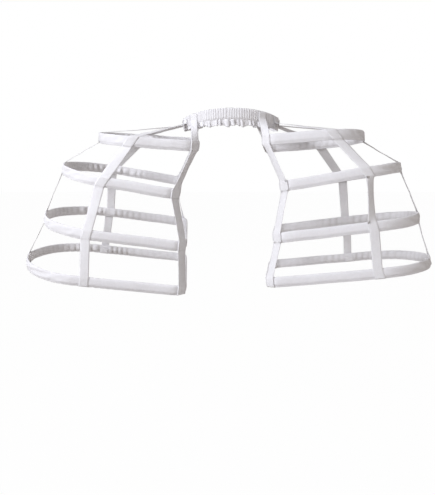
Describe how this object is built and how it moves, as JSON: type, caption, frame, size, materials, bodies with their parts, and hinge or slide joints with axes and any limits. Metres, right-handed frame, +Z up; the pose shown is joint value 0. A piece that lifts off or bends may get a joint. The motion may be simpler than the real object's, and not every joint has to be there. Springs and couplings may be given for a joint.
{
  "type": "pannier crinoline cage",
  "caption": "Pair of side hoop cages for wearing under a wide skirt: cloth-covered hoops joined by woven tapes and hung from a gathered elastic waistband",
  "frame": {"origin": "centre of the waist opening, at the height of the channel's seam at the front", "axes": "+Z up, -Y the front that the picture shows, +X to the right as seen from the front"},
  "size_m": [1.2161, 0.3903, 0.5353],
  "materials": {
    "casing_cotton": "plain woven white cotton, slightly puckered at the seams",
    "twill_tape": "woven white twill tape",
    "gathered_cotton": "white cotton gathered into fine pleats",
    "elastic": "ribbed off-white elastic",
    "bone": "flat off-white hoop boning",
    "ferrule": "pressed steel sleeve"
  },
  "bodies": {
    "root": {"waistband_channel": "gathered_cotton", "waist_elastic": "elastic", "left_hoop_1_casing": "casing_cotton", "left_hoop_1_bone": "bone", "left_hoop_1_ferrule": "ferrule", "left_hoop_2_casing": "casing_cotton", "left_hoop_2_bone": "bone", "left_hoop_2_ferrule": "ferrule", "left_hoop_3_casing": "casing_cotton", "left_hoop_3_bone": "bone", "left_hoop_3_ferrule": "ferrule", "left_hoop_4_casing": "casing_cotton", "left_hoop_4_bone": "bone", "left_hoop_4_ferrule": "ferrule", "left_inner_front_tape": "twill_tape", "left_front_tape": "twill_tape", "left_outer_tape": "twill_tape", "left_rear_tape": "twill_tape", "left_inner_rear_tape": "twill_tape", "right_hoop_1_casing": "casing_cotton", "right_hoop_1_bone": "bone", "right_hoop_1_ferrule": "ferrule", "right_hoop_2_casing": "casing_cotton", "right_hoop_2_bone": "bone", "right_hoop_2_ferrule": "ferrule", "right_hoop_3_casing": "casing_cotton", "right_hoop_3_bone": "bone", "right_hoop_3_ferrule": "ferrule", "right_hoop_4_casing": "casing_cotton", "right_hoop_4_bone": "bone", "right_hoop_4_ferrule": "ferrule", "right_inner_front_tape": "twill_tape", "right_front_tape": "twill_tape", "right_outer_tape": "twill_tape", "right_rear_tape": "twill_tape", "right_inner_rear_tape": "twill_tape"}
  },
  "joints": []
}
